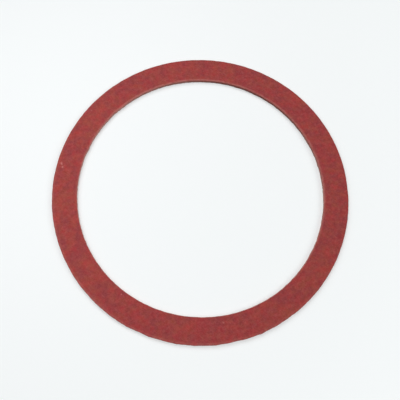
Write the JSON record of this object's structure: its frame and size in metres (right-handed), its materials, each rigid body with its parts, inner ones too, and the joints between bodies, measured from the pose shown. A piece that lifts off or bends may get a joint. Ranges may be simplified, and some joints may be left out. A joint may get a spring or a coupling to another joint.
{
  "type": "fibre gasket",
  "caption": "Flat round ring gasket punched from thin red vulcanised fibre sheet; it is clamped between two faces to seal the joint round a bore.",
  "frame": {"origin": "centre of the bore on the lower face, on which the ring lies", "axes": "+Z along the bore axis, out of the upper face, whose edges are rolled over by the punch"},
  "size_m": [0.06, 0.06, 0.0008],
  "materials": {
    "red_fibre": "calendered vulcanised fibre sheet, dyed red-brown through, matt with a faint sheen, paler and fibrous on the cut edges"
  },
  "bodies": {
    "root": {"gasket": "red_fibre"}
  },
  "joints": []
}
